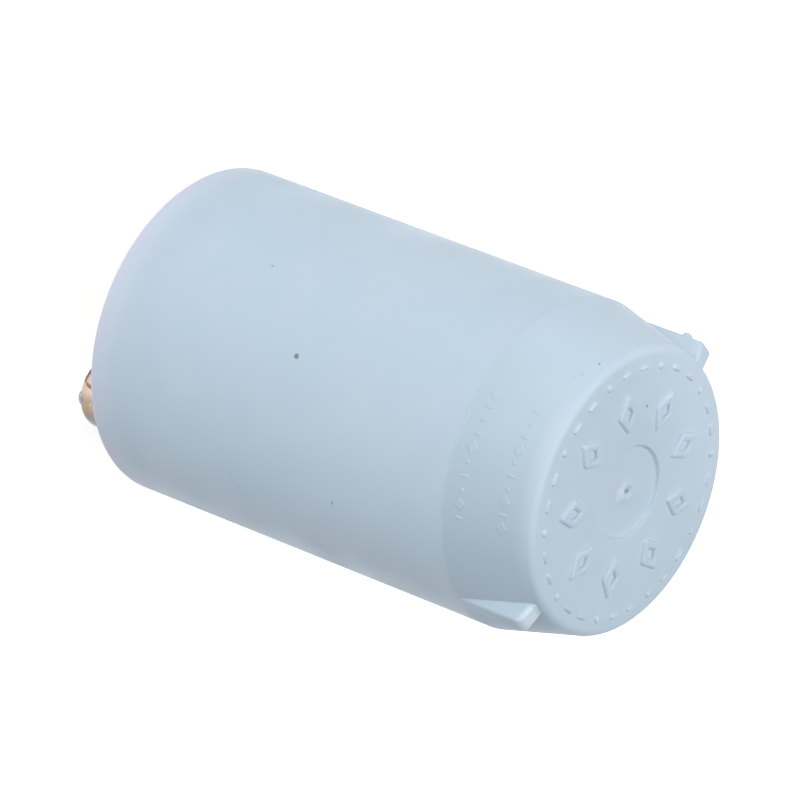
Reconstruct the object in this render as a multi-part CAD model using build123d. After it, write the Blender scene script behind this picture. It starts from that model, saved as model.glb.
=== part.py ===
from build123d import *
import os
from math import atan2, cos, degrees, radians, sin, sqrt, tan

os.makedirs("parts", exist_ok=True)

# Fluorescent starter, in millimetres. +Z runs along the can from the contact pins to the closed end, the
# two pins stand in a row along X, and z = 0 is the plane of the pins' tips.

# Housing, one thin plastic moulding
housing_radius = 10.75
housing_length = 34.6
housing_wall = 1.0
side_draft = 0.004
open_edge = 0.35
taper_length = 5.8
face_radius = 9.22
face_edge = 0.5
face_wall = 1.2

# Sunk gate mark in the middle of the closed face
gate_radius = 3.0
gate_depth = 0.35
gate_pip_radius = 0.9
gate_pip_height = 0.25
gate_pip_bore = 0.32

# Two grip fins on the taper, each given by the angles of its two outer edges about Z, by how far its
# root is turned from them, and by how far its end lies below the closed face
fins = {"right": (-1.5, 5.3, -5.0, 0.45), "left": (180.1, 187.8, 5.0, 0.25)}
fin_end_fall = 0.58
fin_end_round = 0.6
fin_edge = 0.15

# Raised ornament on the closed face: lozenge frames, with small dashes and studs outside them
relief_height = 0.22
relief_stroke = 0.4
lozenge_count = 9
lozenge_length = 2.9
lozenge_width = 2.0
dash_count = 30
dash_length = 0.8
dash_from_edge = 0.85

# Base plate, snapped between a ledge and a bead inside the open end
plate_thickness = 1.6
plate_recess = 0.5
plate_clearance = 0.05
seat_ledge = 0.3
snap_bead = 0.2
snap_bead_height = 0.3

# Contact pins, turned brass, swaged over the plate
pin_spacing = 12.7
pin_reach = 4.25
head_radius = 2.45
head_length = 2.0
head_edge = 0.3
neck_radius = 1.5
tip_radius = 0.55
tip_height = 0.25
collar_radius = 1.95
collar_height = 0.4
swage_radius = 2.0
swage_height = 0.45
pin_hole_clearance = 0.03

# Solder on the pins' inner ends, and the wires that it holds
solder_radius = 1.6
solder_top_radius = 0.9
solder_height = 1.25
wire_radius = 0.3
wire_apart = 0.9
wire_foot = 0.15
wire_rise = 0.8
wire_bend = 0.9

# Glow lamp
lamp_radius = 4.4
lamp_glass = 0.5
lamp_top_gap = 2.7
lamp_shoulder = 2.2
lamp_floor = 2.3
lamp_above_solder = 3.1
lamp_side_gap = 0.7
pinch_width = 6.0
pinch_thickness = 2.2
pinch_height = 3.2
pinch_edge = 0.5
tip_off_height = 1.6
tip_off_radius = 0.9
lead_spacing = 3.0
lead_in_lamp = 1.9

# Electrodes in the glow lamp
post_radius = 0.45
post_below_dome = 1.2
post_overlap = 1.3
strip_width = 2.2
strip_thickness = 0.25
strip_below_dome = 2.2
strip_overlap = 1.2
strip_bend = 0.9
strip_weld_gap = 0.02
contact_gap = 0.6

# Capacitor
capacitor_width = 10.4
capacitor_lamp_gap = 0.9
capacitor_height = 8.5
capacitor_round = 1.0
capacitor_side_gap = 0.6
capacitor_lead_spacing = 7.5
capacitor_above_solder = 3.6

# Heights of the main planes
rim_z = pin_reach
face_z = rim_z + housing_length
crease_z = face_z - taper_length
ceiling_z = face_z - face_wall
plate_low_z = rim_z + plate_recess
plate_top_z = plate_low_z + plate_thickness
swage_top_z = plate_top_z + swage_height
solder_top_z = swage_top_z + solder_height

# Radii of the housing that the pieces inside share
crease_radius = housing_radius - side_draft * (crease_z - rim_z)
bore_radius = crease_radius - housing_wall
seat_radius = bore_radius + seat_ledge
plate_radius = seat_radius - plate_clearance
taper_per_mm = (crease_radius - face_radius) / taper_length


def turned(points):
    """A solid of revolution about Z from (radius, height) points."""
    outline = [(r, 0, z) for r, z in points]
    return revolve(make_face(Polyline(*outline, close=True)), Axis.Z, 360)


def circles_at(solid, radius, height):
    """The round edges of a turned solid at one radius and height."""
    edges = solid.edges().filter_by(GeomType.CIRCLE)
    return edges.filter_by(
        lambda e: abs(e.radius - radius) < 1e-4 and abs(e.arc_center.Z - height) < 1e-4
    )


def on_circle(radius, angle, height):
    """A point at a radius, an angle in degrees about Z, and a height."""
    return (radius * cos(radians(angle)), radius * sin(radians(angle)), height)


def wire(points, bends):
    """A round wire along straight runs joined by arcs."""
    path = FilletPolyline(*points, radius=bends)
    start = Plane(origin=path @ 0, z_dir=path % 0)
    body = sweep(start * Circle(wire_radius), path=path)
    drawn = Circle(wire_radius).area * path.length
    assert abs(body.volume - drawn) < 0.01 * drawn
    return body


def save(shape, node):
    """Write one piece to its file."""
    export_step(shape, f"parts/{node}.step")
    return shape


def make_fin(low_angle, high_angle, turn, below_face):
    """One fin: it carries the tube's surface on past the taper, and its end falls off to a round corner."""
    root = face_radius - housing_wall
    middle_angle = (low_angle + high_angle) / 2
    outer = [on_circle(crease_radius, angle, 0) for angle in (low_angle, middle_angle, high_angle)]
    inner = [on_circle(root, angle + turn, 0) for angle in (high_angle, low_angle)]
    sides = [Line(outer[2], inner[0]), Line(inner[1], outer[0])]
    section = make_face([ThreePointArc(*outer), sides[0], Line(*inner), sides[1]])
    low_z = crease_z - housing_wall
    fin = extrude(Plane.XY.offset(low_z) * section, face_z - low_z)
    upright = fin.edges().filter_by(Axis.Z)
    fin = fillet(upright.sort_by_distance((0, 0, crease_z))[-2:], fin_edge)
    root_z = face_z - below_face
    edge_z = root_z - fin_end_fall
    end = turned([
        (0, low_z),
        (crease_radius, low_z),
        (crease_radius, edge_z),
        (face_radius, root_z),
        (0, root_z),
    ])
    return fin & fillet(circles_at(end, crease_radius, edge_z), fin_end_round)


def make_lozenge(angle):
    """One raised lozenge frame on the closed face, with its long axis along the radius."""
    middle = (gate_radius + face_radius - dash_from_edge - relief_stroke) / 2
    place = Plane(on_circle(middle, angle, face_z)).rotated((0, 0, angle))
    half_width = lozenge_width / 2
    half_length = lozenge_length / 2
    frame = Polygon((half_length, 0), (0, half_width), (-half_length, 0), (0, -half_width))
    slope = sqrt(half_width**2 + half_length**2)
    share = 1 - relief_stroke * slope / (half_width * half_length)
    frame -= Polygon(
        (half_length * share, 0), (0, half_width * share), (-half_length * share, 0), (0, -half_width * share)
    )
    return extrude(place * frame, relief_height, both=True)


def make_mark(number):
    """One mark of the outer ring: a dash along the ring, or a round stud at every third place."""
    angle = 360 / dash_count * number
    middle = face_radius - dash_from_edge - face_edge / 2
    place = Plane(on_circle(middle, angle, face_z)).rotated((0, 0, angle))
    if number % 3 == 0:
        shape = Circle(relief_stroke / 2)
    else:
        shape = SlotOverall(dash_length, relief_stroke * 0.75, rotation=90)
    return extrude(place * shape, relief_height * 0.8, both=True)


def make_housing():
    """The can: a tube with a tapered closed end, two fins, a gate mark and a raised ornament."""
    shell = turned([(0, rim_z), (housing_radius, rim_z), (crease_radius, crease_z), (face_radius, face_z),
                    (0, face_z)])
    shell = fillet(circles_at(shell, face_radius, face_z), face_edge)
    shell = fillet(circles_at(shell, housing_radius, rim_z), open_edge)
    for low_angle, high_angle, turn, below_face in fins.values():
        shell += make_fin(low_angle, high_angle, turn, below_face)
    for number in range(lozenge_count):
        shell += make_lozenge(360 / lozenge_count * number)
    for number in range(dash_count):
        shell += make_mark(number)
    shell -= Plane.XY.offset(face_z - gate_depth) * extrude(Circle(gate_radius), gate_depth + relief_height)
    pip = Circle(gate_pip_radius) - Circle(gate_pip_bore)
    shell += extrude(Plane.XY.offset(face_z - gate_depth) * pip, gate_pip_height)
    # the hollow: snap bead, plate seat, straight bore and tapered end
    bead_z = plate_low_z - snap_bead_height
    end_radius = bore_radius - taper_per_mm * (ceiling_z - crease_z)
    shell -= turned([
        (0, rim_z - open_edge),
        (seat_radius, rim_z - open_edge),
        (seat_radius, bead_z),
        (seat_radius - snap_bead, bead_z),
        (seat_radius, plate_low_z),
        (seat_radius, plate_top_z),
        (bore_radius, plate_top_z),
        (bore_radius, crease_z),
        (end_radius, ceiling_z),
        (0, ceiling_z),
    ])
    return shell


def make_base_plate():
    """The insulating disc, with a hole for each pin."""
    plate = turned([
        (0, plate_low_z),
        (plate_radius, plate_low_z),
        (plate_radius, plate_top_z),
        (0, plate_top_z),
    ])
    hole = extrude(Circle(neck_radius + pin_hole_clearance), plate_thickness)
    for side in (-1, 1):
        plate -= Pos(side * pin_spacing / 2, 0, plate_low_z) * hole
    return plate


def make_pin(side):
    """One contact pin: head with a parting nib, neck, collar under the plate and swaged end above it."""
    shoulder_z = tip_height + head_length
    pin = turned([
        (0, 0),
        (tip_radius / 2, 0),
        (tip_radius, tip_height),
        (head_radius, tip_height),
        (head_radius, shoulder_z),
        (neck_radius, shoulder_z),
        (neck_radius, plate_low_z - collar_height),
        (collar_radius, plate_low_z - collar_height),
        (collar_radius, plate_low_z),
        (neck_radius, plate_low_z),
        (neck_radius, plate_top_z),
        (swage_radius, plate_top_z),
        (swage_radius, swage_top_z),
        (0, swage_top_z),
    ])
    pin = fillet(circles_at(pin, head_radius, tip_height), head_edge)
    pin = chamfer(circles_at(pin, head_radius, shoulder_z), head_edge / 2)
    pin = fillet(circles_at(pin, swage_radius, swage_top_z), swage_height / 2)
    return Pos(side * pin_spacing / 2, 0, 0) * pin


def wire_end(side, toward):
    """The last two points of a wire: above the solder, and its foot in the solder."""
    x = side * pin_spacing / 2
    y = toward * wire_apart / 2
    return [(x, y, solder_top_z + wire_rise), (x, y, swage_top_z + wire_foot)]


lamp_y = -(bore_radius - lamp_side_gap - lamp_radius)
pinch_z = solder_top_z + lamp_above_solder
lamp_base_z = pinch_z + pinch_height
tube_low_z = lamp_base_z + lamp_shoulder
tube_top_z = ceiling_z - lamp_top_gap - tip_off_height - lamp_radius
lamp_floor_z = lamp_base_z + lamp_floor
lead_top_z = lamp_floor_z + lead_in_lamp


def make_lamp_lead(side):
    """A wire from inside the glow lamp, down through its pinch, to a pin."""
    x = side * lead_spacing / 2
    top = (x, lamp_y, lead_top_z)
    bend = (x, lamp_y, pinch_z - 2 * wire_bend)
    return wire([top, bend] + wire_end(side, -1), [wire_bend, wire_bend])


capacitor_low_z = solder_top_z + capacitor_above_solder
capacitor_face_y = sqrt((bore_radius - capacitor_side_gap) ** 2 - (capacitor_width / 2) ** 2)
capacitor_back_y = lamp_y + lamp_radius + capacitor_lamp_gap
capacitor_depth = capacitor_face_y - capacitor_back_y
capacitor_y = capacitor_face_y - capacitor_depth / 2


def make_capacitor_lead(side):
    """A wire from the underside of the capacitor to a pin."""
    x = side * capacitor_lead_spacing / 2
    top = (x, capacitor_y, capacitor_low_z)
    bend = (x, capacitor_y, capacitor_low_z - 2 * wire_bend)
    return wire([top, bend] + wire_end(side, 1), [wire_bend, wire_bend])


def make_solder(side, wires):
    """The solder on one pin's inner end, around the feet of the two wires."""
    blob = turned([
        (0, swage_top_z),
        (solder_radius, swage_top_z),
        (solder_top_radius, solder_top_z),
        (0, solder_top_z),
    ])
    blob = fillet(circles_at(blob, solder_top_radius, solder_top_z), solder_top_radius / 2)
    blob = Pos(side * pin_spacing / 2, 0, 0) * blob
    for held in wires:
        blob -= held
    return blob


def make_lamp_glass(leads):
    """The blown envelope: tube, dome with its sealed tip, shoulder, and the flat pinch round the leads."""
    top_z = tube_top_z + lamp_radius
    base_radius = pinch_thickness
    inner_radius = lamp_radius - lamp_glass
    outer = turned([(0, lamp_base_z), (base_radius, lamp_base_z), (lamp_radius, tube_low_z),
                    (lamp_radius, tube_top_z), (0, tube_top_z)])
    outer += Pos(0, 0, tube_top_z) * Sphere(lamp_radius)
    outer += turned([
        (0, top_z - lamp_glass),
        (tip_off_radius, top_z - lamp_glass / 2),
        (tip_off_radius / 4, top_z + tip_off_height),
        (0, top_z + tip_off_height),
    ])
    pinch = Box(pinch_width, pinch_thickness, pinch_height + lamp_shoulder)
    pinch = fillet(pinch.edges().filter_by(Axis.Z), pinch_edge)
    outer += Pos(0, 0, pinch_z + (pinch_height + lamp_shoulder) / 2) * pinch
    rise = tube_low_z - lamp_base_z
    floor_share = (lamp_floor_z - lamp_base_z) / rise
    floor_radius = base_radius + (lamp_radius - base_radius) * floor_share - lamp_glass
    hollow = turned([(0, lamp_floor_z), (min(floor_radius, inner_radius), lamp_floor_z),
                     (inner_radius, lamp_floor_z + lamp_glass), (inner_radius, tube_top_z), (0, tube_top_z)])
    hollow += Pos(0, 0, tube_top_z) * Sphere(inner_radius)
    glass = Pos(0, lamp_y, 0) * (outer - hollow)
    for lead in leads:
        glass -= lead
    return glass


post_x = -(lead_spacing / 2 + wire_radius + post_radius)
strip_x = lead_spacing / 2 + wire_radius + strip_weld_gap


def make_fixed_electrode():
    """The plain post, welded side by side to one lead."""
    low_z = lead_top_z - post_overlap
    post = extrude(Circle(post_radius), tube_top_z - post_below_dome - low_z)
    post = fillet(post.edges().sort_by(Axis.Z)[-1], post_radius / 2)
    return Pos(post_x, lamp_y, low_z) * post


def make_bimetal_strip():
    """The strip, welded to the other lead, with its free end bent over towards the post."""
    low_z = lead_top_z - strip_overlap
    high_z = tube_top_z - strip_below_dome
    free_x = post_x + post_radius + contact_gap
    middle_x = strip_x + strip_thickness / 2
    corners = [(middle_x, 0, low_z), (middle_x, 0, high_z), (free_x, 0, high_z)]
    path = FilletPolyline(*corners, radius=strip_bend)
    section = Plane(origin=path @ 0, x_dir=(0, 1, 0), z_dir=path % 0) * Rectangle(strip_width, strip_thickness)
    return Pos(0, lamp_y, 0) * sweep(section, path=path)


def make_capacitor():
    """The capacitor's sealed block, with rounded sides."""
    block = Box(capacitor_width, capacitor_depth, capacitor_height)
    block = fillet(block.edges().filter_by(Axis.Z), capacitor_round)
    block = fillet(block.faces().sort_by(Axis.Z)[-1].edges(), capacitor_round / 2)
    return Pos(0, capacitor_y, capacitor_low_z + capacitor_height / 2) * block


sides = {"a": -1, "b": 1}
lamp_leads = {name: make_lamp_lead(side) for name, side in sides.items()}
capacitor_leads = {name: make_capacitor_lead(side) for name, side in sides.items()}

save(make_housing(), "housing")
save(make_base_plate(), "base_plate")
for name, side in sides.items():
    save(make_pin(side), f"contact_pin_{name}")
    save(make_solder(side, [lamp_leads[name], capacitor_leads[name]]), f"pin_solder_{name}")
    save(lamp_leads[name], f"lamp_lead_{name}")
    save(capacitor_leads[name], f"capacitor_lead_{name}")
save(make_lamp_glass(lamp_leads.values()), "lamp_envelope")
save(make_fixed_electrode(), "fixed_electrode")
save(make_bimetal_strip(), "bimetal_strip")
save(make_capacitor(), "capacitor_body")

# The strip bends about its weld, at the top of its lead, until it is a hair short of the post
bend_height = tube_top_z - strip_below_dome - lead_top_z
print(f"strip hinge x {strip_x:.3f} y {lamp_y:.3f} z {lead_top_z:.3f}")
print(f"strip closes the gap at {degrees(atan2(contact_gap, bend_height)):.2f} degrees")
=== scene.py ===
# %% [markdown]
# # A fluorescent starter, dressed in Blender
#
# A starter is a small plastic can that plugs into a lamp fitting. Two brass pins stand out of its
# base plate, and a glow lamp and a capacitor sit inside. The can is one thin moulding, so its looks
# come from a few quiet things: soft edges, a tapered end, low raised marks and a pale, slightly
# cloudy plastic. This file loads the measured solids, replaces those that deserve softer edges, and
# gives every piece a finish of its own.

# %% Load the measured model
from math import atan2, cos, hypot, pi, radians, sin, tan

import bmesh
import bpy
from mathutils import Euler, Matrix, Vector


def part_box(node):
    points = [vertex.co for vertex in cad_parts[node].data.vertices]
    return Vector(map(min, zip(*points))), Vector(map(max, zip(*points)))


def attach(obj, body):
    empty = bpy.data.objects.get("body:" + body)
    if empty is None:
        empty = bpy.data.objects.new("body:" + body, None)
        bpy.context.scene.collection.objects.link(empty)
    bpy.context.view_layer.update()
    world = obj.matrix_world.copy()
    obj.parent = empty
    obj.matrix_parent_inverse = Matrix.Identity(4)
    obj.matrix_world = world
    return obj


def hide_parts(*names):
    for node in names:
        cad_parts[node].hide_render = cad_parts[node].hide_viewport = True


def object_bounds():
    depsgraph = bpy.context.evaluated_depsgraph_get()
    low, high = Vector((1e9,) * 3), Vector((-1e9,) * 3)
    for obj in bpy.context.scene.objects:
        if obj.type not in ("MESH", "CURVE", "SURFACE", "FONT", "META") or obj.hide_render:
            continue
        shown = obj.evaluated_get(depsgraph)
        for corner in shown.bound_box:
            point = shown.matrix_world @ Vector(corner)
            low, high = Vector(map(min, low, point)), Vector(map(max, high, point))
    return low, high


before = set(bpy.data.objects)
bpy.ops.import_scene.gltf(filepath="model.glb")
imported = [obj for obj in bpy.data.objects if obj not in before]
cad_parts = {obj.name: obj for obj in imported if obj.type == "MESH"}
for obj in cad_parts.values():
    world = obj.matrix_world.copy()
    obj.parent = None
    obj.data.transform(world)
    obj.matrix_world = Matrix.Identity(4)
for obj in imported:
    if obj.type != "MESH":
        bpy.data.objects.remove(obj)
solid_low, solid_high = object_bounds()
print("solids span", [round(1000 * size, 2) for size in solid_high - solid_low], "mm")

# %% [markdown]
# The solids are in metres, and a starter is small, so the sizes below are in millimetres and each
# new mesh is scaled once, when it is finished. The heights are read from the solids where they can
# be, so that the new pieces stay on the old ones.

# %% Heights and radii of the can
MM = 0.001


def low_of(node):
    """The lowest height of a solid, in millimetres."""
    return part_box(node)[0].z / MM


def high_of(node):
    """The greatest height of a solid, in millimetres."""
    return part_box(node)[1].z / MM


mark_height = 0.22
mark_sunk = 0.12
taper_height = 5.8
end_thickness = 1.2
wall_thickness = 1.0
wall_draft = 0.004
ledge_width = 0.3
gate_depth = 0.25
crater_rise = 0.15
crater_depth = 0.1

rim_z = low_of("housing")
face_z = high_of("housing") - mark_height
crease_z = face_z - taper_height
ceiling_z = face_z - end_thickness
plate_low_z = low_of("base_plate")
plate_top_z = high_of("base_plate")
rim_radius = 10.75
crease_radius = rim_radius - wall_draft * (crease_z - rim_z)
face_radius = 9.14
bore_radius = crease_radius - wall_thickness
seat_radius = bore_radius + ledge_width
gate_radius = 3.0
gate_z = face_z - gate_depth
crater_z = gate_z + crater_rise
taper = (crease_radius - face_radius) / (face_z - crease_z)
taper_angle = atan2(crease_radius - face_radius, face_z - crease_z)
print("closed face at", round(face_z, 2), "mm, crease at", round(crease_z, 2), "mm")

# %% [markdown]
# The camera comes first, because everything is judged through it. The photograph was taken from
# above the closed end with a long lens, and the can lies across the picture. Here the can stands
# upright, so the camera is rolled about its own axis until the can lies in the picture the same way.
# A long lens keeps the sides of the can nearly parallel.

# %% Place the camera
camera_azimuth = radians(23.8)
camera_elevation = radians(35.55)
camera_roll = radians(111.07)
camera_distance = 370.0
camera_target = Vector((3.25, -8.02, 26.72))
sensor_width = 36.0
photo_width = 800
photo_focal = 6132.4

camera_data = bpy.data.cameras.new("studio_camera")
camera_data.sensor_width = sensor_width
camera_data.lens = photo_focal / photo_width * sensor_width
camera_data.clip_start = 0.01
camera_data.clip_end = 20.0
camera = bpy.data.objects.new("studio_camera", camera_data)
bpy.context.scene.collection.objects.link(camera)
upright = Euler((pi / 2 - camera_elevation, 0.0, camera_azimuth)).to_matrix()
rolled = upright @ Matrix.Rotation(camera_roll, 3, "Z")
backward = rolled @ Vector((0.0, 0.0, 1.0))
place = (camera_target + backward * camera_distance) * MM
camera.matrix_world = Matrix.Translation(place) @ rolled.to_4x4()
bpy.context.scene.camera = camera
print("lens", round(camera_data.lens, 1), "mm, camera at", [round(c, 4) for c in place])

# %% [markdown]
# Most pieces of a starter are round, so most meshes here begin as a half outline that is spun about
# the axis. An outline is a short list of corners: radius, height, and how round the corner is. The
# bevel operator rounds single points of a wire, and an arc of radius r in a corner that turns by an
# angle t starts r * tan(t / 2) before the corner, which is the offset that bevel wants.

# %% Outlines and spun shapes
arc_step = radians(12)
weld_distance = 1e-4


def round_corner(bm, vert, radius):
    """Round one point of a wire with an arc of the given radius."""
    before, after = [edge.other_vert(vert).co - vert.co for edge in vert.link_edges]
    turn = pi - before.angle(after)
    steps = max(2, round(turn / arc_step))
    bmesh.ops.bevel(bm, geom=[vert], offset=radius * tan(turn / 2), offset_type="OFFSET",
                    segments=steps, profile=0.5, affect="VERTICES", material=-1)


def spun(corners, steps):
    """A closed shell of revolution from (radius, height, rounding) corners."""
    bm = bmesh.new()
    verts = [bm.verts.new((radius, 0.0, height)) for radius, height, rounding in corners]
    for start, end in zip(verts, verts[1:]):
        bm.edges.new((start, end))
    for vert, (radius, height, rounding) in zip(verts, corners):
        if rounding:
            round_corner(bm, vert, rounding)
    outline = list(bm.verts) + list(bm.edges)
    bmesh.ops.spin(bm, geom=outline, cent=(0, 0, 0), axis=(0, 0, 1), angle=2 * pi,
                   steps=steps, use_merge=True)
    bmesh.ops.remove_doubles(bm, verts=bm.verts, dist=weld_distance)
    bmesh.ops.recalc_face_normals(bm, faces=bm.faces)
    return bm


# %% Helpers that join and finish a mesh
sharp_angle = radians(38)


def join_into(bm, shell, matrix=None):
    """Move a shell by a matrix and add it to another mesh."""
    if matrix is not None:
        bmesh.ops.transform(shell, matrix=matrix, verts=shell.verts)
    mesh = bpy.data.meshes.new("joining")
    shell.to_mesh(mesh)
    shell.free()
    bm.from_mesh(mesh)
    bpy.data.meshes.remove(mesh)


def in_order(bm):
    """Corners and faces in a fixed order, because a spin makes its faces in a varying one."""
    bm.verts.index_update()
    verts = sorted(bm.verts, key=lambda vert: (vert.co.z, vert.co.y, vert.co.x))
    rank = {vert.index: place for place, vert in enumerate(verts)}
    rings = sorted([rank[vert.index] for vert in face.verts] for face in bm.faces)
    return [tuple(vert.co) for vert in verts], rings


def finished(bm, name, material, body, slot, *nodes):
    """Turn a mesh in millimetres into a smooth piece in metres that stands for its solids."""
    bmesh.ops.scale(bm, vec=(MM, MM, MM), verts=bm.verts)
    corners, rings = in_order(bm)
    bm.free()
    mesh = bpy.data.meshes.new(name)
    mesh.from_pydata(corners, [], rings)
    mesh.shade_smooth()
    mesh.set_sharp_from_angle(angle=sharp_angle)
    mesh.materials.append(material)
    piece = bpy.data.objects.new(name, mesh)
    bpy.context.scene.collection.objects.link(piece)
    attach(piece, body)
    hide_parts(*nodes)
    print(name, len(mesh.polygons), "faces")


# %% [markdown]
# Materials come next. A short wrapper makes nodes and joins them, so that each finish reads as a
# list of what it is made of. Effects that several finishes share are node groups, built once: a
# slow drift of tone, a fine grain for the bump, and a round spot at a given place.

# %% A small node wrapper


class Nodes:
    """Adds nodes to a tree and links values or sockets to their inputs."""

    def __init__(self, tree):
        self.tree = tree

    def add(self, kind, settings=None, **inputs):
        """One node. Inputs are given by name with spaces as underscores, or as in_0, in_1."""
        node = self.tree.nodes.new(kind)
        for key, value in (settings or {}).items():
            setattr(node, key, value)
        for key, value in inputs.items():
            label = int(key[3:]) if key.startswith("in_") else key.replace("_", " ")
            socket = node.inputs[label]
            if isinstance(value, bpy.types.NodeSocket):
                self.tree.links.new(value, socket)
            else:
                socket.default_value = value
        return node

    def math(self, operation, first, second=0.0, third=0.0):
        """One sum, as a socket."""
        node = self.add("ShaderNodeMath", {"operation": operation},
                        in_0=first, in_1=second, in_2=third)
        return node.outputs[0]

    def ramp(self, value, low, high, out_low=0.0, out_high=1.0):
        """A value stretched from one range to another, with soft ends."""
        node = self.add("ShaderNodeMapRange", {"interpolation_type": "SMOOTHSTEP"}, Value=value,
                        From_Min=low, From_Max=high, To_Min=out_low, To_Max=out_high)
        return node.outputs["Result"]

    def fade(self, value, low, high, out_low=0.0, out_high=1.0):
        """The same for a place on the object, with its range in millimetres."""
        return self.ramp(value, low * MM, high * MM, out_low, out_high)

    def mix(self, factor, first, second):
        """Two colours mixed by a factor."""
        node = self.add("ShaderNodeMix", {"data_type": "RGBA"},
                        in_0=factor, in_6=first, in_7=second)
        return node.outputs[2]


def new_group(name, inputs, outputs):
    """An empty node group with named float, vector or colour sockets."""
    group = bpy.data.node_groups.new(name, "ShaderNodeTree")
    kinds = {"float": "NodeSocketFloat", "vector": "NodeSocketVector", "color": "NodeSocketColor"}
    for label, kind in inputs.items():
        group.interface.new_socket(name=label, in_out="INPUT", socket_type=kinds[kind])
    for label, kind in outputs.items():
        group.interface.new_socket(name=label, in_out="OUTPUT", socket_type=kinds[kind])
    nodes = Nodes(group)
    return group, nodes, nodes.add("NodeGroupInput").outputs, nodes.add("NodeGroupOutput").inputs


# %% [markdown]
# Tone drift is what keeps moulded plastic and old metal from looking painted: the colour wanders by
# a percent or two over several millimetres. Two noises of different size, added, give a mask near
# one half that a material uses to mix two close colours.

# %% Group: tone drift
tone_drift, nodes, given, result = new_group(
    "tone_drift", {"Place": "vector", "Size": "float", "Spread": "float"}, {"Mask": "float"})
broad = nodes.add("ShaderNodeTexNoise", Vector=given["Place"], Scale=given["Size"], Detail=2.0)
close_size = nodes.math("MULTIPLY", given["Size"], 4.3)
close = nodes.add("ShaderNodeTexNoise", Vector=given["Place"], Scale=close_size, Detail=3.0)
broad_share = nodes.math("MULTIPLY", broad.outputs[0], 0.65)
both = nodes.math("MULTIPLY_ADD", close.outputs[0], 0.35, broad_share)
centred = nodes.math("SUBTRACT", both, 0.5)
spread = nodes.math("MULTIPLY_ADD", centred, given["Spread"], 0.5)
nodes.tree.links.new(nodes.ramp(spread, 0.0, 1.0), result["Mask"])

# %% [markdown]
# Fine grain is the height that a tool or a mould leaves on a surface. It feeds the bump of most of
# the finishes, at a strength that each one sets.

# %% Group: fine grain
fine_grain, nodes, given, result = new_group(
    "fine_grain", {"Place": "vector", "Size": "float"}, {"Height": "float"})
pits = nodes.add("ShaderNodeTexNoise", Vector=given["Place"], Scale=given["Size"], Detail=4.0,
                 Roughness=0.6)
cell_size = nodes.math("MULTIPLY", given["Size"], 0.4)
cells = nodes.add("ShaderNodeTexVoronoi", Vector=given["Place"], Scale=cell_size)
grain = nodes.math("MULTIPLY_ADD", cells.outputs["Distance"], 0.3, pits.outputs[0])
nodes.tree.links.new(grain, result["Height"])

# %% [markdown]
# A speck of dirt has a place, so it is a mask and not a noise. The group measures how far a point
# lies from the middle of the speck, and a very fine noise makes the edge ragged. A long mark, such
# as a scratch or a streak, is a row of specks that run into each other.

# %% Group: speck
speck_group, nodes, given, result = new_group(
    "speck", {"Place": "vector", "Centre": "vector", "Radius": "float", "Ragged": "float"},
    {"Mask": "float"})
ragged = nodes.add("ShaderNodeTexNoise", Vector=given["Place"], Scale=6000.0, Detail=2.0)
unevenness = nodes.math("SUBTRACT", ragged.outputs[0], 0.5)
apart = nodes.add("ShaderNodeVectorMath", {"operation": "DISTANCE"},
                  in_0=given["Place"], in_1=given["Centre"])
share = nodes.math("DIVIDE", apart.outputs["Value"], given["Radius"])
rough_share = nodes.math("MULTIPLY_ADD", unevenness, given["Ragged"], share)
nodes.tree.links.new(nodes.ramp(rough_share, 0.6, 1.1, 1.0, 0.0), result["Mask"])


# %% A finish starts from object coordinates and one shader


def new_finish(name, **inputs):
    """A material with a Principled shader, and a wrapper round its tree."""
    material = bpy.data.materials.new(name)
    material.use_nodes = True
    tree = material.node_tree
    tree.nodes.clear()
    nodes = Nodes(tree)
    shader = nodes.add("ShaderNodeBsdfPrincipled", **inputs)
    output = nodes.add("ShaderNodeOutputMaterial", Surface=shader.outputs[0])
    output.is_active_output = True
    place = nodes.add("ShaderNodeTexCoord").outputs["Object"]
    return material, nodes, shader, place


def drift_mask(nodes, place, size, spread):
    """The tone drift group, placed in a material."""
    node = nodes.add("ShaderNodeGroup", {"node_tree": tone_drift}, Place=place, Size=size,
                     Spread=spread)
    return node.outputs["Mask"]


def grain_bump(nodes, shader, place, size, strength, depth):
    """Bump from the fine grain group, joined to the shader."""
    grain = nodes.add("ShaderNodeGroup", {"node_tree": fine_grain}, Place=place, Size=size)
    bump = nodes.add("ShaderNodeBump", Height=grain.outputs["Height"], Strength=strength,
                     Distance=depth)
    nodes.tree.links.new(bump.outputs[0], shader.inputs["Normal"])


def speck_mask(nodes, place, centre, radius, ragged=0.6):
    """The speck group, placed in a material, with its sizes in millimetres."""
    node = nodes.add("ShaderNodeGroup", {"node_tree": speck_group}, Place=place,
                     Centre=tuple(c * MM for c in centre), Radius=radius * MM, Ragged=ragged)
    return node.outputs["Mask"]


def on_can(radius, angle, height):
    """A point at a radius, an angle in degrees and a height."""
    return (radius * cos(radians(angle)), radius * sin(radians(angle)), height)


def off_axis(nodes, place):
    """How far a point lies from the axis of the can."""
    flat = nodes.add("ShaderNodeVectorMath", {"operation": "MULTIPLY"},
                     in_0=place, in_1=(1.0, 1.0, 0.0))
    length = nodes.add("ShaderNodeVectorMath", {"operation": "LENGTH"}, in_0=flat.outputs[0])
    return length.outputs["Value"]


def towards(nodes, place, angle):
    """How far a point lies from the middle towards one side of the can."""
    node = nodes.add("ShaderNodeVectorMath", {"operation": "DOT_PRODUCT"},
                     in_0=place, in_1=on_can(1.0, angle, 0.0))
    return node.outputs["Value"]


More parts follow.
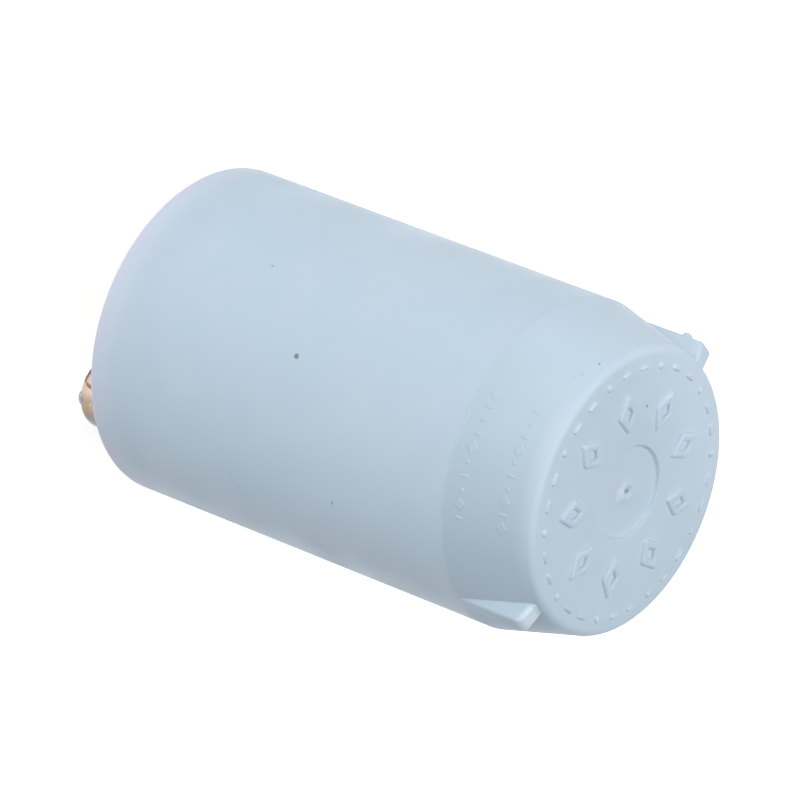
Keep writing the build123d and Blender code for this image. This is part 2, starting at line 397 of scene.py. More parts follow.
# %% [markdown]
# The can is moulded in a pale blue-grey polycarbonate. It is matt, a little cloudy, and lets some
# light through. That light is painted into the colour: the thin rim and its corner are paler, and the
# base plate behind the wall makes a soft darker band of painted shade. The colour is a mix of two
# close tones. The taper is painted darker, as painted shade, on the side of the small marks. The ends
# of the fins and one side of the closed face are painted paler as painted light, and spots on the
# torn ring of the gate mark are painted highlights. The specks and the short scratch of the real one
# are placed by angle and height; the speck in the hole of the gate mark is painted shade. Subsurface
# light would soften the raised marks too, but it is stopped by the hidden undersides of the marks, so
# the softness is in their shape instead.

# %% Finish: housing plastic
housing_finish, nodes, shader, place = new_finish(
    "housing_plastic", Specular_IOR_Level=0.16, IOR=1.5)
cool_tone = (0.537, 0.665, 0.780, 1.0)
milky_tone = (0.576, 0.690, 0.785, 1.0)
rim_glow_tone = (0.66, 0.72, 0.83, 1.0)
rim_edge_glow_tone = (0.74, 0.69, 0.88, 1.0)
plate_shade_tone = (0.46, 0.56, 0.67, 1.0)
taper_shade_tone = (0.455, 0.575, 0.655, 1.0)
fin_end_glow_tone = (0.76, 0.86, 0.97, 1.0)
face_sheen_side_tone = (0.63, 0.74, 0.855, 1.0)
gate_highlight_tone = (0.68, 0.78, 0.88, 1.0)
dirt_and_hole_shade_tone = (0.13, 0.14, 0.15, 1.0)
scratch_tone = (0.36, 0.42, 0.50, 1.0)
colour = nodes.mix(drift_mask(nodes, place, 90.0, 1.6), cool_tone, milky_tone)

spot = nodes.add("ShaderNodeSeparateXYZ", in_0=place).outputs
height = spot["Z"]
rim_glow_strength = 0.85
plate_shade_strength = 0.10
# Painted light: the thin rim and the corner of the rim are painted paler, as light through the plastic.
rim_light = nodes.fade(height, rim_z + 0.2, rim_z + 3.0, rim_glow_strength, 0.0)
colour = nodes.mix(rim_light, colour, rim_glow_tone)
rim_edge_glow = nodes.fade(height, rim_z + 0.22, rim_z + 0.5, rim_glow_strength, 0.0)
colour = nodes.mix(rim_edge_glow, colour, rim_edge_glow_tone)
# Painted shade: a soft darker band where the base plate stands behind the wall.
plate_shade = nodes.math("MULTIPLY", nodes.fade(height, rim_z + 0.6, rim_z + 2.2),
                         nodes.fade(height, rim_z + 3.0, rim_z + 5.5, 1.0, 0.0))
plate_shade = nodes.math("MULTIPLY", plate_shade, plate_shade_strength)
colour = nodes.mix(plate_shade, colour, plate_shade_tone)

# Painted shade: the taper is painted darker on the side of the small marks.
taper_shade_angle = 309.0
taper_shade_strength = 0.58
taper_shade_side = nodes.fade(towards(nodes, place, taper_shade_angle), 5.2, 9.8, 0.0, taper_shade_strength)
above_crease = nodes.fade(height, crease_z - 0.15, crease_z + 0.15)
below_face = nodes.fade(height, face_z - 1.3, face_z - 0.4, 1.0, 0.0)
taper_shade = nodes.math("MULTIPLY", nodes.math("MULTIPLY", above_crease, below_face), taper_shade_side)
colour = nodes.mix(taper_shade, colour, taper_shade_tone)

# The ends of the fins are painted paler, as painted light. The end of a fin slopes, so its mask is
# measured along that slope. The right one is paler.
fin_end_slope = 0.414
left_fin_glow = 0.2
right_fin_glow = 0.75
from_axis = off_axis(nodes, place)
along_end = nodes.math("MULTIPLY_ADD", from_axis, fin_end_slope, height)
end_top = face_z + fin_end_slope * face_radius
fin_end = nodes.math("MULTIPLY", nodes.fade(from_axis, 9.40, 9.60),
                     nodes.fade(along_end, end_top - 0.95, end_top - 0.55))
fin_glow_strength = nodes.fade(spot["X"], -1.0, 1.0, left_fin_glow, right_fin_glow)
colour = nodes.mix(nodes.math("MULTIPLY", fin_end, fin_glow_strength), colour, fin_end_glow_tone)

# Painted sheen: one side of the closed face is painted paler.
face_sheen_angle = 175.0
face_sheen_side = nodes.fade(towards(nodes, place, face_sheen_angle), 2.0, 8.5)
face_sheen = nodes.math("MULTIPLY", nodes.fade(height, face_z - 0.7, face_z - 0.1), face_sheen_side)
colour = nodes.mix(face_sheen, colour, face_sheen_side_tone)

# Each painted highlight on the torn ring of the gate mark is a radius, an angle, a size and a strength.
gate_highlight_points = [
    (0.48, -40.0, 0.30, 0.9),
    (0.72, -52.0, 0.30, 0.8),
    (0.85, -20.0, 0.24, 0.7),
    (0.62, -100.0, 0.22, 0.5),
    (0.66, 135.0, 0.14, 0.5),
]
gate_highlight_ragged = 1.2
for radius, angle, size, strength in gate_highlight_points:
    mask = speck_mask(nodes, place, on_can(radius, angle, crater_z), size, gate_highlight_ragged)
    colour = nodes.mix(nodes.math("MULTIPLY", mask, strength), colour, gate_highlight_tone)

# Each speck is a place, a radius and a strength. The first darkens the hole of the gate mark as painted
# shade; the others are dirt.
specks = [
    (on_can(0.12, 130.0, gate_z - 0.02), 0.17, 0.55),
    (on_can(10.68, -68.8, 19.8), 0.20, 0.75),
    (on_can(10.70, -94.8, 14.65), 0.11, 0.40),
    (on_can(10.66, -24.8, 24.3), 0.13, 0.45),
    (on_can(9.45, -110.5, 38.0), 0.13, 0.80),
    (on_can(5.48, -139.8, face_z), 0.12, 0.60),
    (on_can(9.50, -102.4, 37.7), 0.18, 0.11),
    (on_can(9.57, -99.9, 37.5), 0.16, 0.09),
]
for centre, radius, strength in specks:
    mask = nodes.math("MULTIPLY", speck_mask(nodes, place, centre, radius), strength)
    colour = nodes.mix(mask, colour, dirt_and_hole_shade_tone)

scratch_radius = 10.7
scratch_width = 0.15
scratch_ragged = 1.2
scratch_strength = 0.16
scratch_points = [
    (-20.2, 15.90),
    (-18.5, 15.95),
    (-16.8, 16.05),
    (-15.2, 16.20),
    (-13.6, 16.45),
    (-12.0, 16.80),
]
for angle, point_height in scratch_points:
    centre = on_can(scratch_radius, angle, point_height)
    mask = speck_mask(nodes, place, centre, scratch_width, scratch_ragged)
    colour = nodes.mix(nodes.math("MULTIPLY", mask, scratch_strength), colour, scratch_tone)
nodes.tree.links.new(colour, shader.inputs["Base Color"])
roughness = nodes.ramp(drift_mask(nodes, place, 240.0, 2.0), 0.0, 1.0, 0.36, 0.50)
nodes.tree.links.new(roughness, shader.inputs["Roughness"])
grain_bump(nodes, shader, place, 1800.0, 0.06, 0.00004)

# %% [markdown]
# The housing is one moulding, and its outline tells its whole story: a gate mark with its little
# crater, the flat face, a rounded edge, the taper, a soft crease, the long wall, the open rim, and
# inside it the bead and the ledge that hold the base plate. Spinning one closed outline gives both
# skins of the wall at once. The mould left a hair of flash where its halves met at the crease. It is
# a very flat ring, a second shell sunk into the first.

# %% Shape: housing body
ring_steps = 256
pip_radius = 1.0
pip_bore = 0.42
pip_floor = 0.1
bead_gap = 0.3
bead_reach = 0.2
bead_slope = 0.03
rim_round = 0.42
face_round = 0.55
crease_round = 2.5
flash_height = 0.028
flash_width = 0.17
flash_sunk = 0.03


def cone_at(height):
    """The radius of the taper at a height."""
    return face_radius + taper * (face_z - height)


housing_outline = [
    (0.0, gate_z - crater_depth, 0.0),
    (pip_floor, gate_z - crater_depth, 0.03),
    (pip_bore, crater_z, 0.10),
    (pip_bore + 0.12, crater_z, 0.06),
    (pip_radius, gate_z, 0.30),
    (gate_radius - 0.12, gate_z, 0.14),
    (gate_radius + 0.02, face_z, 0.12),
    (face_radius, face_z, face_round),
    (crease_radius, crease_z, crease_round),
    (rim_radius, rim_z, rim_round),
    (seat_radius, rim_z, 0.08),
    (seat_radius, plate_low_z - bead_gap, 0.0),
    (seat_radius - bead_reach, plate_low_z - bead_gap + bead_slope, 0.02),
    (seat_radius, plate_low_z, 0.0),
    (seat_radius, plate_top_z, 0.0),
    (bore_radius, plate_top_z, 0.08),
    (bore_radius, crease_z, 0.3),
    (bore_radius - taper * (ceiling_z - crease_z), ceiling_z, 0.4),
    (0.0, ceiling_z, 0.0),
]
housing = spun(housing_outline, ring_steps)
flash_radius = crease_radius - crease_round * (1 / cos(taper_angle / 2) - 1)
flash_outline = [
    (flash_radius - flash_sunk, crease_z - flash_width, 0.0),
    (flash_radius + flash_height, crease_z, 0.1),
    (flash_radius - flash_sunk, crease_z + flash_width, 0.0),
    (flash_radius - flash_sunk, crease_z - flash_width, 0.0),
]
join_into(housing, spun(flash_outline, ring_steps))
print("housing body", len(housing.faces), "faces")

# %% [markdown]
# Two fins stand on the taper, for fingers to turn the can by. Each carries the straight wall on to
# just short of the face, where its end falls off to a round corner, and both lean towards the same
# side. The shape of one side of a fin is drawn as a closed wire, and a short spin about the can's
# axis gives the fin its thickness. The two open ends are filled, and the free edges are bevelled.
# The inner edge of the fin runs inside the wall.

# %% Shape: grip fins
fins = {
    "right": {"low_angle": -1.5, "high_angle": 5.3, "turn": -5.0, "below_face": 0.45,
              "end_round": 0.6},
    "left": {"low_angle": 180.1, "high_angle": 187.8, "turn": 5.0, "below_face": 0.25,
             "end_round": 0.28},
}
fin_inset = 0.004
fin_outer = crease_radius - fin_inset
fin_root = face_radius - 1.0
fin_sunk = 0.5
fin_low_z = crease_z - 0.9
fin_end_fall = 0.58
fin_edge = 0.28
fin_steps = 6
sharp_fin_angle = radians(40)


def fin_shell(low_angle, high_angle, turn, below_face, end_round):
    """A leaning block with a round outer side, bevelled along its free edges."""
    root_z = face_z - below_face
    edge_z = root_z - fin_end_fall
    inner_z = root_z + fin_sunk * fin_end_fall / (crease_radius - face_radius)
    bm = bmesh.new()
    corners = [
        (crease_radius - fin_sunk, fin_low_z),
        (fin_outer, fin_low_z),
        (fin_outer, edge_z),
        (face_radius - fin_sunk, inner_z),
    ]
    verts = []
    for radius, height in corners:
        lean = turn * (fin_outer - radius) / (fin_outer - fin_root)
        verts.append(bm.verts.new(on_can(radius, low_angle + lean, height)))
    for start, end in zip(verts, verts[1:] + verts[:1]):
        bm.edges.new((start, end))
    round_corner(bm, verts[2], end_round)
    side = list(bm.verts) + list(bm.edges)
    bmesh.ops.spin(bm, geom=side, cent=(0, 0, 0), axis=(0, 0, 1),
                   angle=radians(high_angle - low_angle), steps=fin_steps)
    bmesh.ops.holes_fill(bm, edges=[edge for edge in bm.edges if edge.is_boundary], sides=0)
    bmesh.ops.recalc_face_normals(bm, faces=bm.faces)
    free = [edge for edge in bm.edges if free_edge(edge)]
    bmesh.ops.bevel(bm, geom=free, offset=fin_edge, offset_type="OFFSET", segments=4, profile=0.5,
                    affect="EDGES", material=-1, clamp_overlap=True)
    return bm


def free_edge(edge):
    """Whether an edge of a fin is a sharp one that reaches out of the wall."""
    sharp = edge.calc_face_angle(0.0) > sharp_fin_angle
    ends = [vert.co for vert in edge.verts]
    outside = max(co.xy.length for co in ends) > face_radius
    return sharp and outside and max(co.z for co in ends) > crease_z


for fin in fins.values():
    join_into(housing, fin_shell(**fin))

# %% [markdown]
# The left fin keeps a small nub of plastic on its near edge, where the mould closed. A sphere with
# few faces, pressed flat, is enough for something so small.

# %% Shape: nub on the left fin
nub_radius = 0.36
nub_height = 0.28
nub_narrow = 0.9
nub_sunk = 0.02
nub_angle = 186.3
nub_z = face_z - 2.2
nub = bmesh.new()
bmesh.ops.create_icosphere(nub, subdivisions=3, radius=nub_radius)
bmesh.ops.scale(nub, vec=(nub_height / nub_radius, nub_narrow, 1.0), verts=nub.verts)
nub_turn = Matrix.Rotation(radians(nub_angle), 4, "Z")
join_into(housing, nub, nub_turn @ Matrix.Translation((crease_radius - nub_sunk, 0, nub_z)))

# %% [markdown]
# Everything raised on the plastic is a low bead with soft feet. One bead can be made from any flat
# outline: extrude its face again and again, each time a little smaller and a little up or down. The
# list of steps is then the section of the bead, and the same helper makes frames, lozenges, dashes,
# studs and dots. Scaling is safer here than insetting, because the small round corners shrink with
# the rest and never cross. All four sides of a lozenge lie as far from its middle, so scaling it
# moves them all in by the same amount, and only the two reaches have to shrink in proportion.

# %% Helpers: raised beads from flat outlines


def raised(outline, steps, slant=1.0):
    """Extrude the one face of a flat outline along (inward, rise) steps into a closed shell."""
    reach_x = max(vert.co.x for vert in outline.verts)
    reach_y = max(vert.co.y for vert in outline.verts)
    face = list(outline.faces)[0]
    underside = face
    for inward, rise in steps:
        proportion = reach_y / reach_x if slant > 1.0 else 1.0
        next_x = reach_x - inward * slant
        next_y = reach_y - inward * slant * proportion
        grown = bmesh.ops.extrude_face_region(outline, geom=[face])["geom"]
        if face is not underside:
            bmesh.ops.delete(outline, geom=[face], context="FACES_ONLY")
        face = next(item for item in grown if isinstance(item, bmesh.types.BMFace))
        rim = list(face.verts)
        bmesh.ops.scale(outline, vec=(next_x / reach_x, next_y / reach_y, 1.0), verts=rim)
        bmesh.ops.translate(outline, vec=(0, 0, rise), verts=rim)
        reach_x = next_x
        reach_y = next_y
    bmesh.ops.recalc_face_normals(outline, faces=outline.faces)
    if underside.normal.z > 0:
        bmesh.ops.reverse_faces(outline, faces=outline.faces)
    return outline


def frame_steps(width, height, foot=0.07):
    """Section of a bead that runs round a hollow middle."""
    up = [
        (0.004, mark_sunk - 0.01),
        (foot * 0.6, 0.02),
        (foot * 0.4, height * 0.35),
        (width * 0.10, height * 0.40),
        (width * 0.14, height * 0.20),
        (width * 0.20, height * 0.05),
    ]
    down = [(inward, -rise) for inward, rise in reversed(up[1:])]
    return up + [(width * 0.12, 0.0)] + down + [(0.004, -mark_sunk / 2)]


def solid_steps(width, height, foot=0.05):
    """Section of a bead without a hollow: it rises and rounds off."""
    return [
        (0.004, mark_sunk - 0.01),
        (foot * 0.6, 0.02),
        (foot * 0.4, height * 0.35),
        (width * 0.10, height * 0.38),
        (width * 0.12, height * 0.17),
        (width * 0.12, height * 0.08),
    ]


def slot_outline(length, width, segments=16):
    """A flat slot along Y, from a circle whose two halves are moved apart."""
    bm = bmesh.new()
    bmesh.ops.create_circle(bm, cap_ends=True, segments=segments, radius=width / 2,
                            matrix=Matrix.Rotation(pi / segments, 4, "Z"))
    reach = (length - width) / 2
    for side in (-1, 1):
        half = [vert for vert in bm.verts if vert.co.y * side > 0]
        bmesh.ops.translate(bm, vec=(0, side * reach, 0), verts=half)
    return bm


def lozenge_outline(length, width, rounding):
    """A flat lozenge with its long axis along X and rounded corners."""
    bm = bmesh.new()
    bmesh.ops.create_circle(bm, cap_ends=True, segments=4, radius=1.0)
    bmesh.ops.scale(bm, vec=(length / 2, width / 2, 1.0), verts=bm.verts)
    bmesh.ops.bevel(bm, geom=list(bm.verts), offset=rounding, offset_type="OFFSET", segments=4,
                    profile=0.5, affect="VERTICES", material=-1)
    return bm


# %% [markdown]
# The closed face carries a ring of lozenge frames with a ring of dashes and studs round it. It is a
# plain ornament at the size and strength of a moulded inscription.

# %% Shape: ornament on the closed face
lozenge_count = 9
lozenge_length = 2.9
lozenge_width = 2.0
lozenge_round = 0.3
lozenge_foot = (0.2, 0.14)
stroke = 0.46
frame_height = mark_height - 0.02
dash_count = 30
dash_height = mark_height * 0.75
dash_size = (0.9, 0.4)
stud_size = (stroke + 0.1, stroke + 0.1)
studs_every = 3
border = 0.85
ring_radius = (gate_radius + face_radius - border - stroke) / 2
dash_radius = face_radius - border - 0.25


def on_face(radius, angle):
    """The place of a mark on the closed face, with its X axis along the radius."""
    turn = Matrix.Rotation(radians(angle), 4, "Z")
    return turn @ Matrix.Translation((radius, 0, face_z - mark_sunk))


foot_length, foot_width = lozenge_foot
lozenge_slant = hypot(lozenge_length, lozenge_width) / lozenge_width
for number in range(lozenge_count):
    outline = lozenge_outline(lozenge_length + foot_length, lozenge_width + foot_width, lozenge_round)
    join_into(housing, raised(outline, frame_steps(stroke, frame_height), lozenge_slant),
              on_face(ring_radius, 360 / lozenge_count * number))
for number in range(dash_count):
    outline = slot_outline(*(dash_size if number % studs_every else stud_size))
    join_into(housing, raised(outline, solid_steps(stroke, dash_height)),
              on_face(dash_radius, 360 / dash_count * number))

# %% [markdown]
# Two rows of very low marks run round part of the taper. They are lozenges, dashes and dots, far
# lower than those on the face, and each is tilted to lie flat on the cone.

# %% Shape: small marks on the taper
small_height = 0.03
small_stroke = 0.17
small_foot = 0.03
small_lozenge = (0.95, 0.8)
small_round = 0.08
small_slots = {"dash": (0.55, 0.26), "dot": (0.32, 0.32)}
row_heights = (face_z - 4.75, face_z - 2.0)
row_start = 278.8
row_step = 4.9
row_marks = ("lozenge", "dash", "dot", "dash", "lozenge", "dot", "dash", "dot", "lozenge", "dash")


def small_mark(kind):
    """One low mark of the taper."""
    steps = solid_steps(small_stroke, small_height, small_foot)
    if kind == "lozenge":
        slant = hypot(*small_lozenge) / small_lozenge[1]
        return raised(lozenge_outline(*small_lozenge, small_round), steps, slant)
    return raised(slot_outline(*small_slots[kind]), steps)


def on_taper(angle, height):
    """A place on the cone: X round the can, Y up the slope, Z out of the surface."""
    turn = Matrix.Rotation(radians(angle), 4, "Z")
    radius = cone_at(height) - mark_sunk * cos(taper_angle)
    out = Matrix.Translation((radius, 0, height - mark_sunk * sin(taper_angle)))
    stand = Matrix.Rotation(pi / 2 - taper_angle, 4, "Y")
    spin = Matrix.Rotation(pi / 2, 4, "Z")
    return turn @ out @ stand @ spin


for row, height_of_row in enumerate(row_heights):
    for number, kind in enumerate(row_marks[row:] + row_marks[:row]):
        join_into(housing, small_mark(kind), on_taper(row_start + row_step * number, height_of_row))

finished(housing, "housing_moulding", housing_finish, "starter", "housing_plastic", "housing")

# %% [markdown]
# The pins are turned from brass. Their heads are dull and tan in the middle, with painted light that
# makes one side pinkish and painted shade that darkens the other side through brown to grey. Dark
# streaks show where the flux of the soldering dried, one small spot is rubbed bare, and the brass
# round the burr is grey. The painted light and shade is a ramp across the head, measured from each
# pin's own axis, and the drift mask breaks up every tone. The streaks are specks at the places that
# the picture shows.

# %% Finish: pin brass
pin_x = 6.35
head_radius = 2.45
head_low = 0.25
head_high = 2.25
head_round = 0.8
pin_shade_angle = 23.8
burr_angle = -36.7
burr_z = 0.443
pin_lit_side_tone = (0.63, 0.53, 0.52, 1.0)
pin_shade_tone = (0.29, 0.27, 0.26, 1.0)
nib_tone = (0.42, 0.41, 0.40, 1.0)
streak_tone = (0.13, 0.095, 0.075, 1.0)
bare_tone = (0.64, 0.50, 0.42, 1.0)
burr_tone = (0.38, 0.39, 0.42, 1.0)
brass_finish, nodes, shader, place = new_finish("pin_brass", Metallic=1.0)
pin_place = nodes.add("ShaderNodeSeparateXYZ", in_0=place).outputs
# Painted light and shade: a ramp across each head, paler on one side and darker on the other.
from_pin_x = nodes.math("SUBTRACT", nodes.math("ABSOLUTE", pin_place["X"]), pin_x * MM)
along_x = nodes.math("MULTIPLY", from_pin_x, cos(radians(pin_shade_angle)))
across = nodes.math("MULTIPLY_ADD", pin_place["Y"], sin(radians(pin_shade_angle)), along_x)
drift = drift_mask(nodes, place, 520.0, 3.2)
tan_brass = nodes.mix(drift, (0.72, 0.54, 0.38, 1.0), (0.70, 0.58, 0.51, 1.0))
shaded_brass = nodes.mix(drift, (0.40, 0.30, 0.21, 1.0), (0.49, 0.39, 0.31, 1.0))
tone = nodes.mix(nodes.fade(across, 0.45, 1.25), tan_brass, shaded_brass)
tone = nodes.mix(nodes.fade(across, 1.5, 2.2), tone, pin_shade_tone)
tone = nodes.mix(nodes.fade(across, -0.7, 0.2, 1.0, 0.0), tone, pin_lit_side_tone)
tone = nodes.mix(nodes.fade(pin_place["Z"], 0.14, 0.26, 1.0, 0.0), tone, nib_tone)


def on_head(side, angle, height):
    """A point on the head of a pin, by its angle about the pin's own axis and its height."""
    drop = max(0.0, head_low + head_round - height)
    radius = head_radius - head_round + (head_round ** 2 - drop ** 2) ** 0.5
    return (side * pin_x + radius * cos(radians(angle)), radius * sin(radians(angle)), height)


# Each streak has a side and a radius, and then its points as angle and height.
streak_strength = 0.62
streaks = {
    (1, 0.36): [(-90, 0.62), (-85.5, 0.58), (-81, 0.57), (-77, 0.56)],
    (1, 0.24): [(-72, 0.60), (-69, 0.66)],
    (1, 0.14): [(-64.5, 0.96), (-63, 1.08), (-62, 1.20), (-61, 1.32)],
    (1, 0.17): [(40, 0.90), (150, 1.60)],
    (-1, 0.15): [(100, 0.70), (104, 0.75), (108, 0.80), (-150, 1.40), (-40, 1.10)],
}
for (side, radius), points in streaks.items():
    for angle, point_height in points:
        mask = speck_mask(nodes, place, on_head(side, angle, point_height), radius, 1.0)
        tone = nodes.mix(nodes.math("MULTIPLY", mask, streak_strength), tone, streak_tone)
bare_spot = speck_mask(nodes, place, on_head(1, -35.2, 1.56), 0.13, 0.8)
tone = nodes.mix(nodes.math("MULTIPLY", bare_spot, 0.7), tone, bare_tone)
burr_grey = speck_mask(nodes, place, on_head(1, burr_angle, burr_z - 0.1), 0.7, 0.3)
tone = nodes.mix(burr_grey, tone, burr_tone)
nodes.tree.links.new(tone, shader.inputs["Base Color"])
dulled = nodes.ramp(drift_mask(nodes, place, 900.0, 2.4), 0.0, 1.0, 0.24, 0.52)
nodes.tree.links.new(dulled, shader.inputs["Roughness"])
grain_bump(nodes, shader, place, 2600.0, 0.35, 0.00005)

# %% [markdown]
# A pin is a button head on a neck, with a collar under the plate and its end spread above it. The
# spin makes it, with two shallow tool grooves on the end face and the nib where it was cut off.
# The pin that the picture shows also has a small grey burr on the round edge of its head, made from
# a sphere of few faces, flattened and turned so that it stands square to the edge.

# %% Shape: contact pins
pin_steps = 96
neck_radius = 1.5
collar_radius = 1.95
collar_z = plate_low_z - 0.4
swage_radius = 2.0
swage_top = high_of("contact_pin_b")
pin_outline = [
    (0.0, 0.0, 0.0),
    (0.30, 0.0, 0.06),
    (0.55, 0.20, 0.05),
    (1.05, head_low, 0.10),
    (1.12, head_low + 0.03, 0.03),
    (1.20, head_low, 0.03),
    (1.48, head_low, 0.03),
    (1.54, head_low + 0.025, 0.03),
    (1.61, head_low, 0.03),
    (head_radius, head_low, head_round),
    (head_radius, head_high, 0.14),
    (neck_radius, head_high, 0.08),
    (neck_radius, collar_z, 0.05),
    (collar_radius, collar_z, 0.07),
    (collar_radius, plate_low_z, 0.0),
    (neck_radius, plate_low_z, 0.0),
    (neck_radius, plate_top_z, 0.0),
    (swage_radius, plate_top_z, 0.0),
    (swage_radius, swage_top, 0.2),
    (0.0, swage_top, 0.0),
]
burr_reach = (0.34, 0.46, 0.19)
burr_sunk = 0.06
burr_slant = 139.4
burr_turn = burr_angle + 4


def burr_shell():
    """The burr, in its place on the head of pin b."""
    bm = bmesh.new()
    bmesh.ops.create_icosphere(bm, subdivisions=3, radius=1.0)
    bmesh.ops.scale(bm, vec=burr_reach, verts=bm.verts)
    turn = Matrix.Rotation(radians(burr_turn), 4, "Z")
    slant = Matrix.Rotation(radians(burr_slant), 4, "Y")
    sunk = Matrix.Translation((0, 0, -burr_sunk))
    seat = Matrix.Translation(on_head(1, burr_angle, burr_z)) @ (turn @ slant) @ sunk
    bmesh.ops.transform(bm, matrix=seat, verts=bm.verts)
    return bm


for side, letter in ((-1, "a"), (1, "b")):
    pin = spun(pin_outline, pin_steps)
    bmesh.ops.translate(pin, vec=(side * pin_x, 0, 0), verts=pin.verts)
    if letter == "b":
        join_into(pin, burr_shell())
    finished(pin, f"turned_pin_{letter}", brass_finish, "starter", "pin_brass", f"contact_pin_{letter}")

# %% [markdown]
# The base plate is a punched disc of pale insulating board. It shows its fibres as a faint cross
# grain, and the punched edge is a little darker. The disc keeps its soft punched corner, and the
# holes are hidden by the collars of the pins, so the measured solid serves as it is.

# %% Finish: base plate board
plate_finish, nodes, shader, place = new_finish(
    "plate_board", Roughness=0.7, Specular_IOR_Level=0.25)
board_tone = (0.71, 0.68, 0.59, 1.0)
pale_board_tone = (0.78, 0.76, 0.69, 1.0)
fibre_tone = (0.62, 0.58, 0.49, 1.0)
punched_tone = (0.50, 0.45, 0.36, 1.0)
weave, cross = [
    nodes.add("ShaderNodeTexWave", {"wave_type": "BANDS", "bands_direction": direction}, Vector=place,
              Scale=scale, Distortion=3.0, Detail=2.0, Detail_Scale=2.0).outputs[1]
    for direction, scale in (("X", 900.0), ("Y", 820.0))
]
fibres = nodes.math("MULTIPLY", nodes.math("MULTIPLY", weave, cross), 0.35)
board = nodes.mix(drift_mask(nodes, place, 160.0, 2.4), board_tone, pale_board_tone)
board = nodes.mix(fibres, board, fibre_tone)
punched_edge = nodes.fade(off_axis(nodes, place), seat_radius - 0.6, seat_radius - 0.05, 0.0, 0.5)
board = nodes.mix(punched_edge, board, punched_tone)
nodes.tree.links.new(board, shader.inputs["Base Color"])
grain_bump(nodes, shader, place, 2200.0, 0.3, 0.00005)

# %% [markdown]
# Inside the can are a few plain metals. Solder is grey and frosty, the wires are tinned and bright,
# nickel is a clean warm grey, and the bimetal is the darkest. One function makes all four from a
# pair of tones, a roughness and a grain.

# %% Finishes: solder, wire, nickel and bimetal


def metal_finish(name, dark, light, rough_low, rough_high, size, depth):
    """A bare metal whose tone and gloss drift together, with a fine grain."""
    material, nodes, shader, place = new_finish(name, Metallic=1.0)
    mask = drift_mask(nodes, place, size, 2.6)
    nodes.tree.links.new(nodes.mix(mask, dark, light), shader.inputs["Base Color"])
    roughness = nodes.ramp(mask, 0.0, 1.0, rough_high, rough_low)
    nodes.tree.links.new(roughness, shader.inputs["Roughness"])
    grain_bump(nodes, shader, place, size * 6, 0.4, depth)
    return material


solder_finish = metal_finish(
    "solder", (0.42, 0.43, 0.44, 1.0), (0.66, 0.67, 0.68, 1.0), 0.3, 0.6, 700.0, 0.00006)
wire_finish = metal_finish(
    "lead_wire", (0.48, 0.44, 0.38, 1.0), (0.66, 0.64, 0.60, 1.0), 0.2, 0.4, 900.0, 0.00002)
nickel_finish = metal_finish(
    "electrode_nickel", (0.40, 0.38, 0.35, 1.0), (0.56, 0.54, 0.50, 1.0), 0.2, 0.4, 800.0, 0.00002)
bimetal_finish = metal_finish(
    "bimetal", (0.28, 0.26, 0.24, 1.0), (0.44, 0.42, 0.39, 1.0), 0.28, 0.5, 1200.0, 0.00003)

# %% [markdown]
# The glow lamp is clear glass with a faint smoky tint where the getter settled near the pinch. The
# shader keeps plain transmission, and only the tint and the roughness change over the surface.

# %% Finish: lamp glass
clear_tone = (0.93, 0.97, 0.96, 1.0)
smoke_tone = (0.55, 0.56, 0.54, 1.0)
glass_finish, nodes, shader, place = new_finish("lamp_glass", IOR=1.5, Transmission_Weight=1.0)
glass_height = nodes.add("ShaderNodeSeparateXYZ", in_0=place).outputs["Z"]
lamp_low = low_of("lamp_envelope")
near_pinch = nodes.fade(glass_height, lamp_low + 2.0, lamp_low + 7.5, 1.0, 0.0)
smoke = nodes.math("MULTIPLY", near_pinch, drift_mask(nodes, place, 500.0, 2.5))
nodes.tree.links.new(nodes.mix(smoke, clear_tone, smoke_tone), shader.inputs["Base Color"])
nodes.tree.links.new(nodes.ramp(smoke, 0.0, 1.0, 0.02, 0.25), shader.inputs["Roughness"])

# %% [markdown]
# The capacitor is a block dipped in glossy amber resin. Its tone wanders between two ambers, as where
# the coat runs thicker, and the bump makes tiny bubbles from the same grain as the other pieces.

# %% Finish: capacitor resin
dark_resin = (0.30, 0.105, 0.018, 1.0)
light_resin = (0.42, 0.17, 0.03, 1.0)
resin_finish, nodes, shader, place = new_finish(
    "capacitor_resin", Roughness=0.2, Specular_IOR_Level=0.5, Coat_Weight=0.4, Coat_Roughness=0.08)
resin = nodes.mix(drift_mask(nodes, place, 220.0, 2.2), dark_resin, light_resin)
nodes.tree.links.new(resin, shader.inputs["Base Color"])
grain_bump(nodes, shader, place, 900.0, 0.25, 0.00008)

# %% [markdown]
# The measured solids of the inner pieces already have their true shape, so they stay and only get a
# finish. A node's object keeps its mesh, and its one material slot takes the new material.

# %% Give the remaining solids their finishes
node_finishes = {
    "base_plate": plate_finish,
    "pin_solder_a": solder_finish,
    "pin_solder_b": solder_finish,
    "lamp_lead_a": wire_finish,
    "lamp_lead_b": wire_finish,
    "capacitor_lead_a": wire_finish,
    "capacitor_lead_b": wire_finish,
    "lamp_envelope": glass_finish,
    "fixed_electrode": nickel_finish,
    "bimetal_strip": bimetal_finish,
    "capacitor_body": resin_finish,
}
for node, finish in node_finishes.items():
    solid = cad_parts[node]
    solid.data.materials.clear()
    solid.data.materials.append(finish)
print(len(node_finishes), "solids finished")

# %% [markdown]
# The set is a pale floor under the pins. The camera sees it as white, as in a product picture, but
# the light that falls on the can is ordinary: Light Path adds white only for rays that come from
# the camera, from a gloss or through glass. The floor is still a real surface, so it keeps a faint
# shadow.

# %% Floor and backdrop
floor_reach = 4.0
floor_lift = 0.77
sky_strength = 0.152
floor_tone = (0.86, 0.87, 0.88, 1.0)
sky_tone = (0.92, 0.95, 1.0, 1.0)
white_tone = (1.0, 1.0, 1.0, 1.0)

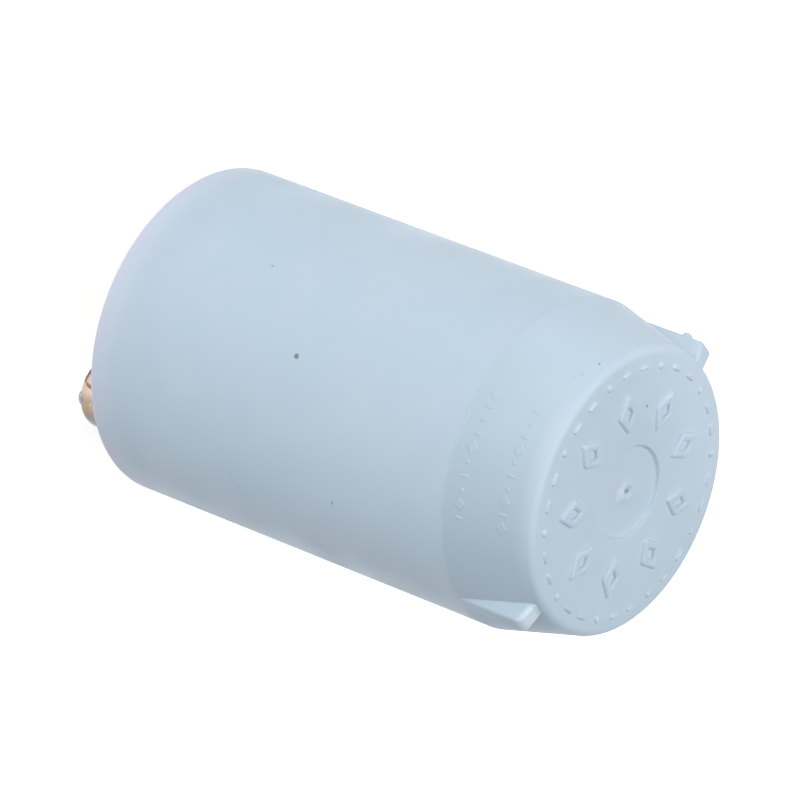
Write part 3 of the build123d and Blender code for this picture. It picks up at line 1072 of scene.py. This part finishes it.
floor_mesh = bmesh.new()
bmesh.ops.create_grid(floor_mesh, x_segments=1, y_segments=1, size=floor_reach)
floor_data = bpy.data.meshes.new("studio_floor")
floor_mesh.to_mesh(floor_data)
floor_mesh.free()
floor = bpy.data.objects.new("studio_floor", floor_data)
bpy.context.scene.collection.objects.link(floor)

floor_finish = bpy.data.materials.new("studio_floor")
floor_finish.use_nodes = True
floor_finish.node_tree.nodes.clear()
nodes = Nodes(floor_finish.node_tree)


def seen_directly(nodes):
    """One for rays from the camera, from a gloss or through glass, and nothing for the rest."""
    paths = nodes.add("ShaderNodeLightPath").outputs
    seen = nodes.math("MAXIMUM", paths["Is Camera Ray"], paths["Is Glossy Ray"])
    return nodes.math("MAXIMUM", seen, paths["Is Transmission Ray"])


paint = nodes.add("ShaderNodeBsdfDiffuse", Color=floor_tone)
lift = nodes.add("ShaderNodeEmission", Color=white_tone,
                 Strength=nodes.math("MULTIPLY", seen_directly(nodes), floor_lift))
surface = nodes.add("ShaderNodeAddShader", in_0=paint.outputs[0], in_1=lift.outputs[0])
nodes.add("ShaderNodeOutputMaterial", Surface=surface.outputs[0])
floor_data.materials.append(floor_finish)

world = bpy.data.worlds.new("studio_world")
bpy.context.scene.world = world
world.use_nodes = True
world.node_tree.nodes.clear()
nodes = Nodes(world.node_tree)
sky = nodes.add("ShaderNodeBackground", Color=sky_tone, Strength=sky_strength)
white = nodes.add("ShaderNodeBackground", Color=white_tone, Strength=1.0)
chosen = nodes.add("ShaderNodeMixShader", in_0=seen_directly(nodes), in_1=sky.outputs[0],
                   in_2=white.outputs[0])
nodes.add("ShaderNodeOutputWorld", Surface=chosen.outputs[0])

# %% [markdown]
# The light in the picture is large and soft. A long low panel in front lights the wall, and its place
# towards the side that is uppermost in the picture lets the opposite side fall off gently. A panel
# behind and one overhead bring the closed face near the tone of the wall, and the one behind falls
# across the raised marks from the top of the picture, which gives them their light and dark sides.

# %% Lights
panel_distance = 0.60


def panel(name, azimuth, elevation, width, height, power):
    """An area light that looks at the middle of the can from a direction in degrees."""
    data = bpy.data.lights.new(name, "AREA")
    data.shape = "RECTANGLE"
    data.size = width
    data.size_y = height
    data.energy = power
    lamp = bpy.data.objects.new(name, data)
    bpy.context.scene.collection.objects.link(lamp)
    middle = (solid_low + solid_high) / 2
    direction = Vector((cos(radians(azimuth)) * cos(radians(elevation)),
                        sin(radians(azimuth)) * cos(radians(elevation)), sin(radians(elevation))))
    facing = direction.to_track_quat("Z", "Y").to_matrix().to_4x4()
    lamp.matrix_world = Matrix.Translation(middle + direction * panel_distance) @ facing


panel("front_panel", 277.0, 4.0, 0.50, 0.10, 1.61)
panel("back_panel", 212.0, 62.0, 0.40, 0.40, 1.03)
panel("top_panel", 302.0, 85.0, 0.50, 0.50, 1.87)

# %% Colour management
bpy.context.scene.view_settings.view_transform = "Standard"
